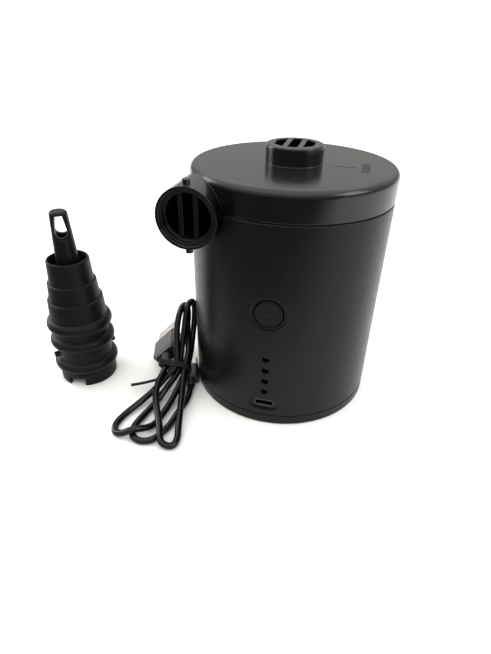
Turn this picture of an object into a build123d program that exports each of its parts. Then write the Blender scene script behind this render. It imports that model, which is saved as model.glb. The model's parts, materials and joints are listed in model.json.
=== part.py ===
from build123d import *
from math import asin, atan2, cos, degrees, hypot, pi, radians, sin, sqrt
import os

os.makedirs("parts", exist_ok=True)

# Electric air mattress pump: a rechargeable drum-shaped blower with a top inlet,
# a side outlet tube, three push-together nozzles and a tied charging cable.
# Frame: the origin is the centre of the base on the table, +Z is up, the button,
# the lights and the charging port face -Y, and the outlet tube opens towards -Y
# at the left side (-X). Units are millimetres.

# ---------------------------------------------------------------- driving sizes
DRUM_DIA = 84.0
DRUM_HEIGHT = 105.0
WALL = 2.2
BASE_RING_HEIGHT = 4.75
CAP_HEIGHT = 11.8
RIM_ROUND = 2.8
BOSS_DIA = 23.2
BOSS_HEIGHT = 7.0
TUBE_DIA = 23.2
TUBE_WALL = 2.2
TUBE_OVERHANG = 1.5
TUBE_PROUD = 0.8
BUTTON_DIA = 11.4
BUTTON_HEIGHT = 56.7
BUTTON_TRAVEL = 0.8
LIGHT_DIA = 3.2
LIGHT_PITCH = 5.7
LIGHT_TOP = 35.3
PORT_HEIGHT = 11.1
IMPELLER_DIA = 47.0
MOTOR_DIA = 27.7
MOTOR_LENGTH = 33.0
CELL_DIA = 18.4
CELL_LENGTH = 65.0
NOZZLE_X = -94.5
NOZZLE_Y = -27.0
CABLE_DIA = 3.0

# ------------------------------------------------------------- named clearances
RUN_FIT = 0.08
BUTTON_GAP = 0.5
NEST_FIT = 0.1
SLIDE_FIT = 0.15
SIDE_GAP = 0.3
SEAM = 0.25

# ---------------------------------------------------------------- derived sizes
R = DRUM_DIA / 2
R_IN = R - WALL
SEAM_LOW = BASE_RING_HEIGHT
SEAM_HIGH = DRUM_HEIGHT - CAP_HEIGHT
SPIGOT_R = R_IN - SLIDE_FIT
SPIGOT_DEPTH = 4.0
BOSS_R = BOSS_DIA / 2
BOSS_TOP = DRUM_HEIGHT + BOSS_HEIGHT
TUBE_R = TUBE_DIA / 2
TUBE_BORE = TUBE_R - TUBE_WALL
TUBE_X = TUBE_R - R - TUBE_PROUD
TUBE_Z = DRUM_HEIGHT - TUBE_R - 1.0
TUBE_MOUTH = -R - TUBE_OVERHANG
TUBE_INNER_END = -17.5
SCROLL_TOP = DRUM_HEIGHT - WALL
SCROLL_DECK = TUBE_Z - TUBE_R - SIDE_GAP
SCROLL_DECK_T = 1.8
IMPELLER_R = IMPELLER_DIA / 2
MOTOR_R = MOTOR_DIA / 2
MOTOR_TOP = SCROLL_DECK - SCROLL_DECK_T
MOTOR_BASE = MOTOR_TOP - MOTOR_LENGTH
CELL_R = CELL_DIA / 2
CELL_BASE = 11.0


def keep(builder, label):
    """Name a finished sub-part and write its STEP file."""
    builder.part.label = label
    export_step(builder.part, f"parts/{label}.step")


def polar(radius, angle, z=0.0):
    """A point at a radius and an angle in degrees about the drum's axis."""
    return (radius * cos(radians(angle)), radius * sin(radians(angle)), z)


# ================================================================= drum housing
FOOT_DIA = 9.0
FOOT_RING_R = 31.0
FOOT_T = 1.2
POST_RING_R = 33.6
POST_ANGLES = (62, 118, 236, 304)
POST_R = 3.4
SCREW_R = 1.25
SCREW_HEAD_R = 2.4
SCREW_HEAD_T = 1.6
BASE_FLOOR_T = 2.4
POST_SPLIT = SEAM_LOW + SPIGOT_DEPTH


def base_cap():
    with BuildPart() as part:
        with BuildSketch(Plane.XY):
            Circle(R)
        extrude(amount=SEAM_LOW - SEAM / 2)
        chamfer(part.edges().sort_by(Axis.Z)[0], length=0.6)
        with BuildSketch(Plane.XY.offset(SEAM_LOW - SEAM / 2)):
            Circle(SPIGOT_R)
        extrude(amount=SPIGOT_DEPTH)
        with BuildSketch(Plane.XY.offset(BASE_FLOOR_T)):
            Circle(SPIGOT_R - 1.8)
        extrude(amount=SPIGOT_DEPTH + SEAM_LOW, mode=Mode.SUBTRACT)
        with BuildSketch(Plane.XY.offset(BASE_FLOOR_T)):
            with Locations([polar(POST_RING_R, a) for a in POST_ANGLES]):
                Circle(POST_R)
        extrude(amount=POST_SPLIT - 0.1 - BASE_FLOOR_T)
        with BuildSketch(Plane.XY):
            with PolarLocations(FOOT_RING_R, 4):
                Circle(FOOT_DIA / 2)
        extrude(amount=FOOT_T, mode=Mode.SUBTRACT)
        with BuildSketch(Plane.XY):
            with Locations([polar(POST_RING_R, a) for a in POST_ANGLES]):
                Circle(SCREW_R + 0.1)
        extrude(amount=POST_SPLIT + 1, mode=Mode.SUBTRACT)
        with BuildSketch(Plane.XY):
            with Locations([polar(POST_RING_R, a) for a in POST_ANGLES]):
                Circle(SCREW_HEAD_R + 0.2)
        extrude(amount=SCREW_HEAD_T + 0.5, mode=Mode.SUBTRACT)
        with Locations((0, -R, PORT_HEIGHT)):
            Box(PORT_RECESS_W + 3, 12, PORT_RECESS_H + 4, mode=Mode.SUBTRACT)
    return part


def base_feet():
    with BuildPart() as part:
        with BuildSketch(Plane.XY):
            with PolarLocations(FOOT_RING_R, 4):
                Circle(FOOT_DIA / 2)
        extrude(amount=FOOT_T)
        chamfer(part.edges().group_by(Axis.Z)[0], length=0.3)
    return part


def screws(points, head_z, tip_z, head_r, shank_r, head_t):
    """Pan-head screws: the heads sit at head_z and the shanks run to tip_z."""
    way = 1 if tip_z > head_z else -1
    with BuildPart() as part:
        with BuildSketch(Plane.XY.offset(head_z)):
            with Locations(points):
                Circle(head_r)
        extrude(amount=way * head_t)
        with BuildSketch(Plane.XY.offset(head_z)):
            with Locations(points):
                Circle(shank_r)
        extrude(amount=tip_z - head_z)
        with BuildSketch(Plane.XY.offset(head_z)):
            with Locations(points):
                Rectangle(head_r * 1.1, 0.6)
                Rectangle(0.6, head_r * 1.1)
        extrude(amount=way * head_t * 0.5, mode=Mode.SUBTRACT)
    return part


# ----------------------------------------------------------------- body shell
PORT_RECESS_W = 13.6
PORT_RECESS_H = 6.6
PORT_RECESS_DEPTH = 1.0
PORT_W = 8.94
PORT_H = 3.26
DISH_R = 7.4
DISH_DEPTH = 1.0
COLLAR_R = 8.6
COLLAR_FACE = -R_IN + 1.6
SHELL_POST_TOP = 22.0
DECK_POST_R = 3.2
DECK_POST_RING_R = 35.8
DECK_POST_ANGLES = (262, 290, 318, 348)
DECK_POST_DEPTH = 12.0
LEDGE_W = 1.2
LEDGE_H = 1.6


def front_plane(y, z):
    """A sketch plane facing the front (-Y) with its local Y upwards."""
    return Plane(origin=(0, y, z), x_dir=(1, 0, 0), z_dir=(0, -1, 0))


def light_heights():
    return [LIGHT_TOP - i * LIGHT_PITCH for i in range(4)]


def posts(points, radius, z_low, z_high):
    """Screw posts with a web that ties each one to the drum wall."""
    with BuildSketch(Plane.XY.offset(z_low)) as profile:
        with Locations([p[:2] for p in points]):
            Circle(radius)
        for x, y, _ in points:
            reach = R_IN + WALL / 2 - hypot(x, y)
            with Locations(Location(((x, y)), degrees(atan2(y, x)))):
                with Locations((reach / 2, 0)):
                    Rectangle(reach, 2.0)
    extrude(profile.sketch, amount=z_high - z_low)


def body_shell():
    low_points = [polar(POST_RING_R, a) for a in POST_ANGLES]
    deck_points = [polar(DECK_POST_RING_R, a) for a in DECK_POST_ANGLES]
    z0 = SEAM_LOW + SEAM / 2
    z1 = SEAM_HIGH - SEAM / 2
    with BuildPart() as part:
        with BuildSketch(Plane.XY.offset(z0)):
            Circle(R)
            Circle(R_IN, mode=Mode.SUBTRACT)
        extrude(amount=z1 - z0)
        rims = part.edges().filter_by(GeomType.CIRCLE).filter_by(lambda e: abs(e.radius - R) < 0.01)
        chamfer(rims, length=0.35)
        with BuildSketch(front_plane(COLLAR_FACE, BUTTON_HEIGHT)):
            Circle(COLLAR_R)
        extrude(amount=R + COLLAR_FACE - WALL / 2)
        posts(low_points, POST_R, POST_SPLIT, SHELL_POST_TOP)
        posts(deck_points, DECK_POST_R, MOTOR_TOP - DECK_POST_DEPTH, MOTOR_TOP)
        with BuildSketch(Plane.XY.offset(MOTOR_TOP - LEDGE_H)):
            Circle(R_IN + WALL / 2)
            Circle(R_IN - LEDGE_W, mode=Mode.SUBTRACT)
        extrude(amount=LEDGE_H)
        with BuildSketch(Plane.XY.offset(z0)):
            with Locations([p[:2] for p in low_points]):
                Circle(SCREW_R)
        extrude(amount=SHELL_POST_TOP - z0 - 3, mode=Mode.SUBTRACT)
        with BuildSketch(Plane.XY.offset(MOTOR_TOP)):
            with Locations([p[:2] for p in deck_points]):
                Circle(SCREW_R)
        extrude(amount=-9, mode=Mode.SUBTRACT)
        cut_front_openings()
        cut_tube_saddle(z1)
    return part


def cut_front_openings():
    """Button hole and dish, four light holes and the charging-port recess."""
    with BuildSketch(front_plane(COLLAR_FACE + 1, BUTTON_HEIGHT)) as profile:
        Circle(BUTTON_DIA / 2 + BUTTON_GAP)
    extrude(profile.sketch, amount=R, mode=Mode.SUBTRACT)
    with BuildSketch(front_plane(-R - 1, BUTTON_HEIGHT)) as profile:
        Circle(DISH_R + 0.5)
    extrude(profile.sketch, amount=-(1 + DISH_DEPTH), taper=20, mode=Mode.SUBTRACT)
    with BuildSketch(front_plane(-R_IN + 3, 0)) as profile:
        with Locations([(0, z) for z in light_heights()]):
            Circle(LIGHT_DIA / 2)
    extrude(profile.sketch, amount=R, mode=Mode.SUBTRACT)
    with BuildSketch(front_plane(-R - 1, PORT_HEIGHT)) as profile:
        RectangleRounded(PORT_RECESS_W, PORT_RECESS_H, PORT_RECESS_H / 2 - 0.05)
    extrude(profile.sketch, amount=-(1 + PORT_RECESS_DEPTH), mode=Mode.SUBTRACT)
    with BuildSketch(front_plane(-R_IN + 3, PORT_HEIGHT)) as profile:
        RectangleRounded(PORT_W + 0.3, PORT_H + 0.3, PORT_H / 2)
    extrude(profile.sketch, amount=R, mode=Mode.SUBTRACT)


def cut_tube_saddle(top):
    """Room for the lower half of the outlet tube in the shell's upper edge."""
    with BuildSketch(Plane(origin=(TUBE_X, -R - 10, TUBE_Z), x_dir=(1, 0, 0), z_dir=(0, 1, 0))) as profile:
        Circle(TUBE_R + SLIDE_FIT)
    extrude(profile.sketch, amount=R + 10 + TUBE_INNER_END + 18, mode=Mode.SUBTRACT)
    with Locations((TUBE_X - 3, -R / 2 - 2, (TUBE_Z + top) / 2 + 1)):
        Box(TUBE_DIA + 6 + 2 * SLIDE_FIT, R + 6, top - TUBE_Z + 2.2, mode=Mode.SUBTRACT)


# -------------------------------------------------------------------- top cap
GRILLE_SLOT = 3.9
GRILLE_BAR = 2.0
GRILLE_T = 2.0
BOSS_BORE_R = BOSS_R - 2.0
OUTLET_BAR = 1.8
OUTLET_BAR_PITCH = 5.8
OUTLET_BAR_DEPTH = 3.0
OUTLET_BAR_LENGTH = 2.0
MOUTH_STEP_W = 1.1
MOUTH_STEP_DEPTH = 0.7
PEG_R = 1.4
PEG_PROUD = 2.0
PEG_SETBACK = 2.6
MARK_DEPTH = 0.3


def tube_plane(y):
    """A sketch plane across the outlet tube, looking along +Y."""
    return Plane(origin=(TUBE_X, y, TUBE_Z), x_dir=(1, 0, 0), z_dir=(0, 1, 0))


def top_cap():
    z0 = SEAM_HIGH + SEAM / 2
    with BuildPart() as part:
        with BuildSketch(Plane.XY.offset(z0)):
            Circle(R)
        extrude(amount=DRUM_HEIGHT - z0)
        rim = part.edges().filter_by(GeomType.CIRCLE).sort_by(Axis.Z)[-1]
        fillet(rim, radius=RIM_ROUND)
        chamfer(part.edges().filter_by(GeomType.CIRCLE).sort_by(Axis.Z)[0], length=0.35)
        with BuildSketch(Plane.XY.offset(z0 - SPIGOT_DEPTH)):
            Circle(SPIGOT_R)
        extrude(amount=SPIGOT_DEPTH + 0.5)
        with BuildSketch(Plane.XY.offset(z0 - SPIGOT_DEPTH)):
            Circle(SPIGOT_R - 1.6)
        extrude(amount=SCROLL_TOP - z0 + SPIGOT_DEPTH, mode=Mode.SUBTRACT)
        with BuildSketch(tube_plane(TUBE_MOUTH)):
            Circle(TUBE_R)
        extrude(amount=TUBE_INNER_END - TUBE_MOUTH)
        add(tube_root())
        with BuildSketch(Plane.XY.offset(DRUM_HEIGHT - 0.5)):
            Circle(BOSS_R)
        extrude(amount=BOSS_HEIGHT + 0.5)
        boss_rim = part.edges().filter_by(GeomType.CIRCLE).sort_by(Axis.Z)[-1]
        fillet(boss_rim, radius=0.9)
        with BuildSketch(Plane.XY.offset(SCROLL_TOP - 1)):
            Circle(BOSS_BORE_R)
        extrude(amount=BOSS_TOP - GRILLE_T - SCROLL_TOP + 1, mode=Mode.SUBTRACT)
        cut_inlet_grille()
        cut_outlet_bore()
        add_bayonet_pegs()
        with BuildSketch(Plane.XY.offset(DRUM_HEIGHT)):
            mark_outline()
        extrude(amount=-MARK_DEPTH, mode=Mode.SUBTRACT)
    return part


def tube_root():
    """The tube's outer wall runs on beside the drum until the two are tangent."""
    with BuildPart() as root:
        with BuildSketch(tube_plane(TUBE_INNER_END)):
            Circle(TUBE_R)
        extrude(amount=-TUBE_INNER_END)
        with BuildSketch(Plane.XY):
            Circle(SPIGOT_R - 1.6)
        extrude(amount=2 * DRUM_HEIGHT, mode=Mode.SUBTRACT)
    return root.part


def cut_inlet_grille():
    pitch = GRILLE_SLOT + GRILLE_BAR
    with BuildSketch(Plane.XY.offset(BOSS_TOP - GRILLE_T - 0.5)) as profile:
        with Locations((-pitch, 0), (0, 0), (pitch, 0)):
            Rectangle(GRILLE_SLOT, BOSS_DIA)
        Circle(BOSS_BORE_R - 1.1, mode=Mode.INTERSECT)
    extrude(profile.sketch, amount=GRILLE_T + 1, mode=Mode.SUBTRACT)


def cut_outlet_bore():
    """Through bore with a stepped lip and two upright guard bars inside the mouth."""
    with BuildSketch(tube_plane(TUBE_MOUTH - 1)) as profile:
        Circle(TUBE_BORE)
    extrude(profile.sketch, amount=1 + OUTLET_BAR_DEPTH, mode=Mode.SUBTRACT)
    with BuildSketch(tube_plane(TUBE_MOUTH - 1)) as profile:
        Circle(TUBE_BORE + MOUTH_STEP_W)
    extrude(profile.sketch, amount=1 + MOUTH_STEP_DEPTH, mode=Mode.SUBTRACT)
    with BuildSketch(tube_plane(TUBE_MOUTH + OUTLET_BAR_DEPTH)) as profile:
        Circle(TUBE_BORE - 0.6)
        with Locations((-OUTLET_BAR_PITCH / 2, 0), (OUTLET_BAR_PITCH / 2, 0)):
            Rectangle(OUTLET_BAR, TUBE_DIA, mode=Mode.SUBTRACT)
    extrude(profile.sketch, amount=OUTLET_BAR_LENGTH, mode=Mode.SUBTRACT)
    with BuildSketch(tube_plane(TUBE_MOUTH + OUTLET_BAR_DEPTH + OUTLET_BAR_LENGTH)) as profile:
        Circle(TUBE_BORE)
    extrude(profile.sketch, amount=TUBE_INNER_END - TUBE_MOUTH, mode=Mode.SUBTRACT)


def add_bayonet_pegs():
    y = TUBE_MOUTH + PEG_SETBACK
    with BuildSketch(Plane.XY.offset(TUBE_Z + TUBE_R - 1.2)) as profile:
        with Locations((TUBE_X, y)):
            Circle(PEG_R)
    extrude(profile.sketch, amount=PEG_PROUD + 1.2)
    with BuildSketch(Plane.XY.offset(TUBE_Z - TUBE_R + 1.2)) as profile:
        with Locations((TUBE_X, y)):
            Circle(PEG_R)
    extrude(profile.sketch, amount=-(PEG_PROUD + 1.2))


# ---------------------------------------------------- top mark (a plain pictogram)
MARK_LINE_X = (16.4, 25.0)
MARK_LINE_Y = -3.5
MARK_LINE_W = 0.8
MARK_BARS_X = 28.6
MARK_BAR_L = 3.2
MARK_BAR_W = 0.9


def mark_outline():
    """A pointer line and a column of short bars beside it."""
    with Locations(((MARK_LINE_X[0] + MARK_LINE_X[1]) / 2, MARK_LINE_Y)):
        Rectangle(MARK_LINE_X[1] - MARK_LINE_X[0], MARK_LINE_W)
    with Locations([(MARK_BARS_X, -9.4 + i * 2.1) for i in range(7)]):
        Rectangle(MARK_BAR_L, MARK_BAR_W)


def top_mark():
    with BuildPart() as part:
        with BuildSketch(Plane.XY.offset(DRUM_HEIGHT - MARK_DEPTH)):
            mark_outline()
        extrude(amount=MARK_DEPTH * 0.6)
    return part


# ==================================================================== air scroll
SCROLL_WALL_T = 1.5
SCROLL_R0 = 27.2
SCROLL_R1 = 36.6
SCROLL_START = 232
SCROLL_STRAIGHT_END = -6.5
SHAFT_R = 1.15
BEARING_R = 4.4


def scroll_deck():
    with BuildPart() as part:
        with BuildSketch(Plane.XY.offset(MOTOR_TOP)):
            Circle(R_IN - SLIDE_FIT)
            Circle(BEARING_R + 0.3, mode=Mode.SUBTRACT)
            with Locations((0, 8), (0, -8)):
                Circle(1.3, mode=Mode.SUBTRACT)
            with Locations([polar(DECK_POST_RING_R, a)[:2] for a in DECK_POST_ANGLES]):
                Circle(SCREW_R + 0.1, mode=Mode.SUBTRACT)
        extrude(amount=SCROLL_DECK_T)
    return part


def scroll_point(turn):
    """A point of the spiral, with turn running from 0 at the tongue to 1."""
    sweep_angle = 540 - SCROLL_START
    radius = SCROLL_R0 + (SCROLL_R1 - SCROLL_R0) * turn
    return polar(radius, SCROLL_START + sweep_angle * turn)[:2]


def scroll_wall():
    steps = [scroll_point(i / 8) for i in range(9)]
    end_x = steps[-1][0]
    with BuildPart() as part:
        with BuildSketch(Plane.XY.offset(SCROLL_DECK)):
            with BuildLine() as path:
                for i in range(0, 8, 2):
                    ThreePointArc(steps[i], steps[i + 1], steps[i + 2])
                Line(steps[-1], (end_x, SCROLL_STRAIGHT_END))
            trace(path.line, line_width=SCROLL_WALL_T)
        extrude(amount=SCROLL_TOP - SCROLL_DECK - 0.1)
        with BuildSketch(tube_plane(TUBE_MOUTH)):
            Circle(TUBE_R + SLIDE_FIT)
        extrude(amount=TUBE_INNER_END - TUBE_MOUTH + 0.2, mode=Mode.SUBTRACT)
    return part


def impeller():
    hub_r = 5.0
    base_z = SCROLL_DECK + 1.6
    blade_count = 9
    blade_h = 13.0
    with BuildPart() as part:
        with BuildSketch(Plane.XY.offset(base_z)):
            Circle(IMPELLER_R)
        extrude(amount=1.5)
        with BuildSketch(Plane.XY.offset(base_z)):
            Circle(hub_r)
        extrude(amount=10)
        with BuildSketch(Plane.XY.offset(base_z + 1.0)):
            for i in range(blade_count):
                start = i * 360 / blade_count
                with BuildLine() as blade:
                    ThreePointArc(polar(9.0, start)[:2], polar(16.5, start - 14)[:2],
                                  polar(IMPELLER_R - 0.8, start - 38)[:2])
                trace(blade.line, line_width=1.2)
        extrude(amount=blade_h + 0.5)
        with BuildSketch(Plane.XY.offset(base_z + blade_h)):
            Circle(IMPELLER_R)
            Circle(IMPELLER_R - 7.5, mode=Mode.SUBTRACT)
        extrude(amount=1.2)
        with BuildSketch(Plane.XY.offset(base_z)):
            Circle(SHAFT_R)
        extrude(amount=12, mode=Mode.SUBTRACT)
    return part


# ========================================================================= motor
CAN_T = 1.2
MAGNET_T = 2.4
AIR_GAP = 0.5
BELL_T = 4.0


def motor_can():
    with BuildPart() as part:
        with BuildSketch(Plane.XY.offset(MOTOR_BASE + BELL_T)):
            Circle(MOTOR_R)
        extrude(amount=MOTOR_LENGTH - BELL_T)
        chamfer(part.edges().filter_by(GeomType.CIRCLE).sort_by(Axis.Z)[-1], length=0.8)
        with BuildSketch(Plane.XY.offset(MOTOR_BASE + BELL_T)):
            Circle(MOTOR_R - CAN_T)
        extrude(amount=MOTOR_LENGTH - BELL_T - CAN_T, mode=Mode.SUBTRACT)
        with BuildSketch(Plane.XY.offset(MOTOR_TOP - CAN_T)):
            Circle(BEARING_R)
        extrude(amount=CAN_T + 1.4)
        with BuildSketch(Plane.XY.offset(MOTOR_TOP - CAN_T)):
            Circle(SHAFT_R + RUN_FIT)
        extrude(amount=CAN_T + 1.4, mode=Mode.SUBTRACT)
        with BuildSketch(Plane.XY.offset(MOTOR_TOP)):
            with Locations((0, 8), (0, -8)):
                Circle(1.1)
        extrude(amount=-CAN_T, mode=Mode.SUBTRACT)
    return part


def motor_magnets():
    outer = MOTOR_R - CAN_T
    with BuildPart() as part:
        with BuildSketch(Plane.XY.offset(MOTOR_BASE + BELL_T + 4)):
            Circle(outer)
            Circle(outer - MAGNET_T, mode=Mode.SUBTRACT)
            Rectangle(MOTOR_DIA, 7, mode=Mode.SUBTRACT)
        extrude(amount=MOTOR_LENGTH - BELL_T - 9)
    return part


def motor_end_bell():
    with BuildPart() as part:
        with BuildSketch(Plane.XY.offset(MOTOR_BASE)):
            Circle(MOTOR_R - 0.4)
        extrude(amount=BELL_T)
        with BuildSketch(Plane.XY.offset(MOTOR_BASE - 1.6)):
            Circle(BEARING_R)
        extrude(amount=1.6)
        with BuildSketch(Plane.XY.offset(MOTOR_BASE + 0.2)):
            Circle(SHAFT_R + RUN_FIT)
        extrude(amount=BELL_T, mode=Mode.SUBTRACT)
        with BuildSketch(Plane.XY.offset(MOTOR_BASE + 1.5)):
            Circle(7.0)
        extrude(amount=BELL_T, mode=Mode.SUBTRACT)
    return part


def motor_terminals():
    with BuildPart() as part:
        with BuildSketch(Plane.XY.offset(MOTOR_BASE)):
            with Locations((-9.5, 0), (9.5, 0)):
                Rectangle(0.6, 2.8)
        extrude(amount=-5)
    return part


def motor_shaft():
    with BuildPart() as part:
        with BuildSketch(Plane.XY.offset(MOTOR_BASE + 0.4)):
            Circle(SHAFT_R)
        extrude(amount=SCROLL_DECK + 12 - MOTOR_BASE)
    return part


def armature():
    core_r = MOTOR_R - CAN_T - MAGNET_T - AIR_GAP
    with BuildPart() as part:
        with BuildSketch(Plane.XY.offset(MOTOR_BASE + BELL_T + 5)):
            Circle(core_r)
            with PolarLocations(core_r - 2.2, 5):
                SlotOverall(6.0, 2.2, mode=Mode.SUBTRACT)
            Circle(SHAFT_R, mode=Mode.SUBTRACT)
        extrude(amount=MOTOR_LENGTH - BELL_T - 11)
    return part


def commutator():
    with BuildPart() as part:
        with BuildSketch(Plane.XY.offset(MOTOR_BASE + 2)):
            Circle(3.6)
            Circle(SHAFT_R, mode=Mode.SUBTRACT)
        extrude(amount=BELL_T + 2.6)
    return part


# ======================================================================= battery
CELL_ANGLES = (22, 158)
CELL_RING_R = R_IN - CELL_R - 3.8
CRADLE_T = 1.4


def battery_cell(angle):
    x, y, _ = polar(CELL_RING_R, angle)
    with BuildPart() as part:
        with BuildSketch(Plane.XY.offset(CELL_BASE)):
            with Locations((x, y)):
                Circle(CELL_R)
        extrude(amount=CELL_LENGTH)
        fillet(part.edges().filter_by(GeomType.CIRCLE), radius=0.8)
    return part


def battery_cradle():
    """A floor with two cups that hold the lower ends of the cells."""
    points = [polar(CELL_RING_R, a)[:2] for a in CELL_ANGLES]
    floor_z = BASE_FLOOR_T
    with BuildPart() as part:
        with BuildSketch(Plane.XY.offset(floor_z)):
            with Locations(points):
                Circle(CELL_R + CRADLE_T)
            with Locations((0, points[0][1])):
                Rectangle(2 * points[0][0], 8)
        extrude(amount=CELL_BASE - floor_z - 0.3)
        with BuildSketch(Plane.XY.offset(CELL_BASE - 0.3)):
            with Locations(points):
                Circle(CELL_R + CRADLE_T)
        extrude(amount=14)
        with BuildSketch(Plane.XY.offset(CELL_BASE - 0.3)):
            with Locations(points):
                Circle(CELL_R + 0.05)
        extrude(amount=16, mode=Mode.SUBTRACT)
    return part


def battery_tabs():
    points = [polar(CELL_RING_R, a)[:2] for a in CELL_ANGLES]
    with BuildPart() as part:
        for z in (CELL_BASE - 0.3, CELL_BASE + CELL_LENGTH):
            with BuildSketch(Plane.XY.offset(z)):
                with Locations(points):
                    RectangleRounded(9, 7, 1)
            extrude(amount=0.3)
    return part


# ================================================================= control board
BOARD_W = 22.0
BOARD_T = 1.6
BOARD_LOW = 8.0
BOARD_TOP = 66.0
BOARD_FACE = -32.4
SWITCH_W = 6.0
SWITCH_DEPTH = 3.4
PLUNGER_R = 1.7
FLANGE_R = 6.9
FLANGE_T = 1.0
BUTTON_FACE = -R + DISH_DEPTH - 0.4


def main_board():
    with BuildPart() as part:
        with Locations((0, BOARD_FACE + BOARD_T / 2, (BOARD_LOW + BOARD_TOP) / 2)):
            Box(BOARD_W, BOARD_T, BOARD_TOP - BOARD_LOW)
    return part


def board_rails():
    """Two slotted rails that stand on the base and grip the board's long edges."""
    with BuildPart() as part:
        for side in (-1, 1):
            with Locations((side * (BOARD_W / 2 + 0.4), BOARD_FACE + BOARD_T / 2, 22.0)):
                Box(3.0, BOARD_T + 2.4, 36.0)
        with Locations((0, BOARD_FACE + BOARD_T / 2, (BOARD_LOW + BOARD_TOP) / 2)):
            Box(BOARD_W + 0.1, BOARD_T + 0.1, BOARD_TOP - BOARD_LOW, mode=Mode.SUBTRACT)
        with Locations((0, BOARD_FACE + BOARD_T / 2, 5.2)):
            Box(BOARD_W + 3.8, BOARD_T + 2.4, 4.4)
    return part


def switch_body():
    with BuildPart() as part:
        with Locations((0, BOARD_FACE - SWITCH_DEPTH / 2, BUTTON_HEIGHT)):
            Box(SWITCH_W, SWITCH_DEPTH, SWITCH_W)
        with BuildSketch(front_plane(BOARD_FACE - 0.6, BUTTON_HEIGHT)):
            Circle(PLUNGER_R + RUN_FIT)
        extrude(amount=SWITCH_DEPTH, mode=Mode.SUBTRACT)
    return part


def switch_plunger():
    tip = COLLAR_FACE + 0.1 + FLANGE_T
    with BuildPart() as part:
        with BuildSketch(front_plane(tip, BUTTON_HEIGHT)):
            Circle(PLUNGER_R)
        extrude(amount=-(BOARD_FACE - 0.7 - BUTTON_TRAVEL - tip))
    return part


def power_button():
    back = COLLAR_FACE + 0.1
    with BuildPart() as part:
        with BuildSketch(front_plane(back, BUTTON_HEIGHT)):
            Circle(BUTTON_DIA / 2)
        extrude(amount=back - BUTTON_FACE)
        fillet(part.edges().filter_by(GeomType.CIRCLE).sort_by(Axis.Y)[0], radius=0.5)
        with BuildSketch(front_plane(back + FLANGE_T, BUTTON_HEIGHT)):
            Circle(FLANGE_R)
        extrude(amount=FLANGE_T)
        with BuildSketch(front_plane(BUTTON_FACE, BUTTON_HEIGHT)):
            with Locations((0, 0)):
                Circle(2.2)
                Circle(1.75, mode=Mode.SUBTRACT)
                with Locations((0, 1.9)):
                    Rectangle(1.4, 1.8, mode=Mode.SUBTRACT)
            with Locations((0, 1.7)):
                Rectangle(0.45, 2.2)
        extrude(amount=-0.2, mode=Mode.SUBTRACT)
    return part


def usb_port_shell():
    length = R - PORT_RECESS_DEPTH + BOARD_FACE
    with BuildPart() as part:
        with BuildSketch(front_plane(BOARD_FACE, PORT_HEIGHT)):
            RectangleRounded(PORT_W, PORT_H, PORT_H / 2 - 0.05)
            RectangleRounded(PORT_W - 0.6, PORT_H - 0.6, PORT_H / 2 - 0.35, mode=Mode.SUBTRACT)
        extrude(amount=length)
        with BuildSketch(front_plane(BOARD_FACE, PORT_HEIGHT)):
            RectangleRounded(PORT_W, PORT_H, PORT_H / 2 - 0.05)
        extrude(amount=0.8)
    return part


def usb_port_tongue():
    with BuildPart() as part:
        with BuildSketch(front_plane(BOARD_FACE - 0.8, PORT_HEIGHT)):
            Rectangle(6.6, 0.7)
        extrude(amount=5.6)
    return part


def charge_leds():
    with BuildPart() as part:
        with Locations([(0, BOARD_FACE - 0.5, z) for z in light_heights()]):
            Box(2.0, 1.0, 1.4)
    return part


LENS_SETBACK = 1.5


def light_pipes():
    """Four clear lenses joined by a strip behind the wall."""
    strip_face = -R_IN + 0.6
    with BuildPart() as part:
        with BuildSketch(front_plane(BOARD_FACE - 1.2, 0)):
            with Locations([(0, z) for z in light_heights()]):
                Circle(LIGHT_DIA / 2)
        extrude(amount=R - LENS_SETBACK + BOARD_FACE - 1.2)
        low = light_heights()[-1] - LIGHT_DIA / 2
        high = LIGHT_TOP + LIGHT_DIA / 2
        with Locations((0, strip_face + 1.0, (low + high) / 2)):
            Box(4.4, 1.6, high - low + 1.6)
    return part


def board_parts():
    """A coil, a capacitor, two chips and two wire sockets on the board's rear."""
    rear = BOARD_FACE + BOARD_T
    with BuildPart() as part:
        with Locations((4.5, rear + 1.5, 48)):
            Box(7, 3, 7)
        with Locations((-4.5, rear + 0.7, 47)):
            Box(5, 1.4, 4)
        with Locations((-4, rear + 0.7, 30)):
            Box(6, 1.4, 6)
        with Locations((-6, rear + 1.6, 61), (6, rear + 1.6, 61)):
            Box(5, 3.2, 5)
        with BuildSketch(Plane(origin=(5, rear, 30), x_dir=(1, 0, 0), z_dir=(0, 1, 0))):
            Circle(2.6)
        extrude(amount=5.5)
    return part


# ======================================================================= nozzles
COLLAR_DIA = 26.7
RIB_DIA = 30.0
NECK_DIA = 25.6
ADAPTER_TOP = 27.0
RIB_HEIGHTS = (9.4, 21.8)
STEP_RIB_HEIGHT = 31.0
SOCKET_R = TUBE_R + 0.2
SOCKET_DEPTH = 12.0
NOTCH_W = 8.0
NOTCH_H = 4.0
NOTCH_ANGLES = (274, 94)
LUG_ANGLES = (226, 46)
LUG_Z = 14.8
JOIN_R = 10.0
JOIN_DEPTH = 6.0
MOUTH_R = 9.3
MOUTH_Z = 62.6
STEP_1_Z = 51.6
STEP_2_Z = 43.1
TIP_TOP = 84.0
TIP_TOP_R = 3.75
TIP_ROOT_R = 5.3
TIP_SEAT_Z = 50.0
TIP_SEAT_R = 7.4
TIP_FACING = 300
WINDOW_LOW = 73.0
WINDOW_WIDE_Z = 75.8
WINDOW_HALF_LOW = 2.6
WINDOW_HALF_TOP = 1.6
WINDOW_BRIDGE = 1.4


def nozzle_plane(z):
    return Plane(origin=(NOZZLE_X, NOZZLE_Y, z), x_dir=(1, 0, 0), z_dir=(0, 0, 1))


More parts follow.
